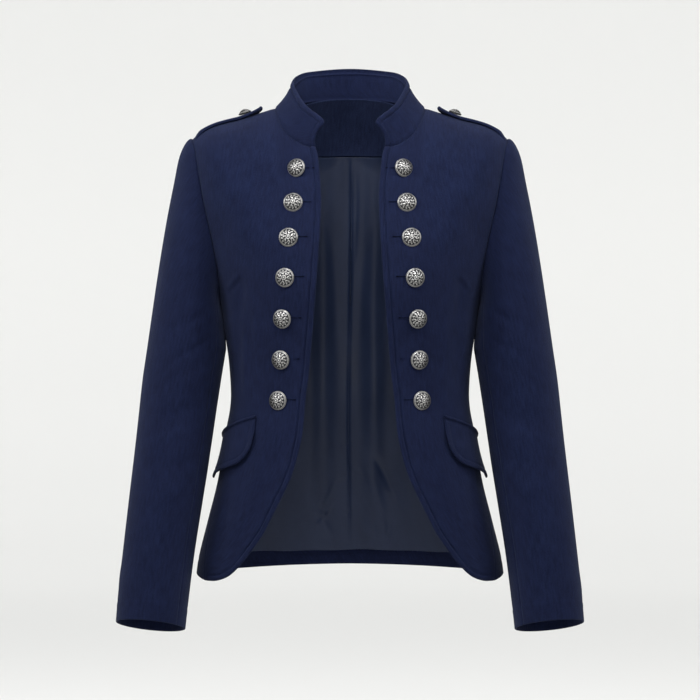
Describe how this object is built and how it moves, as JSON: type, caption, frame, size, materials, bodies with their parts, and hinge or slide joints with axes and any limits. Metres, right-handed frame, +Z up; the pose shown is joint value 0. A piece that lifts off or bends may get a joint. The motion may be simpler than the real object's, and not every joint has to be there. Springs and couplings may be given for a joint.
{
  "type": "stand collar blazer",
  "caption": "Short fitted blazer in its worn form, with a stand collar, open cutaway fronts, domed buttons, flap pockets and shoulder straps.",
  "frame": {"origin": "Midway between the neck ends of the two shoulder seams, where the wearer's neck holds the blazer up", "axes": "+Z up, +X to the wearer's left, the front faces -Y"},
  "size_m": [0.5566, 0.2296, 0.6898],
  "materials": {
    "cloth": "matt navy suiting with a soft nap",
    "lining": "satin",
    "buttons": "antique silver"
  },
  "bodies": {
    "root": {"front_left": "cloth", "front_right": "cloth", "back": "cloth", "collar": "cloth", "upper_sleeve_left": "cloth", "upper_sleeve_right": "cloth", "under_sleeve_left": "cloth", "under_sleeve_right": "cloth", "pocket_flap_left": "cloth", "pocket_flap_right": "cloth", "epaulette_left": "cloth", "epaulette_right": "cloth", "back_neck_facing": "cloth", "back_lining": "lining", "front_button_left_1": "buttons", "front_button_left_2": "buttons", "front_button_left_3": "buttons", "front_button_left_4": "buttons", "front_button_left_5": "buttons", "front_button_left_6": "buttons", "front_button_left_7": "buttons", "front_button_right_1": "buttons", "front_button_right_2": "buttons", "front_button_right_3": "buttons", "front_button_right_4": "buttons", "front_button_right_5": "buttons", "front_button_right_6": "buttons", "front_button_right_7": "buttons", "epaulette_button_left": "buttons", "epaulette_button_right": "buttons"}
  },
  "joints": []
}
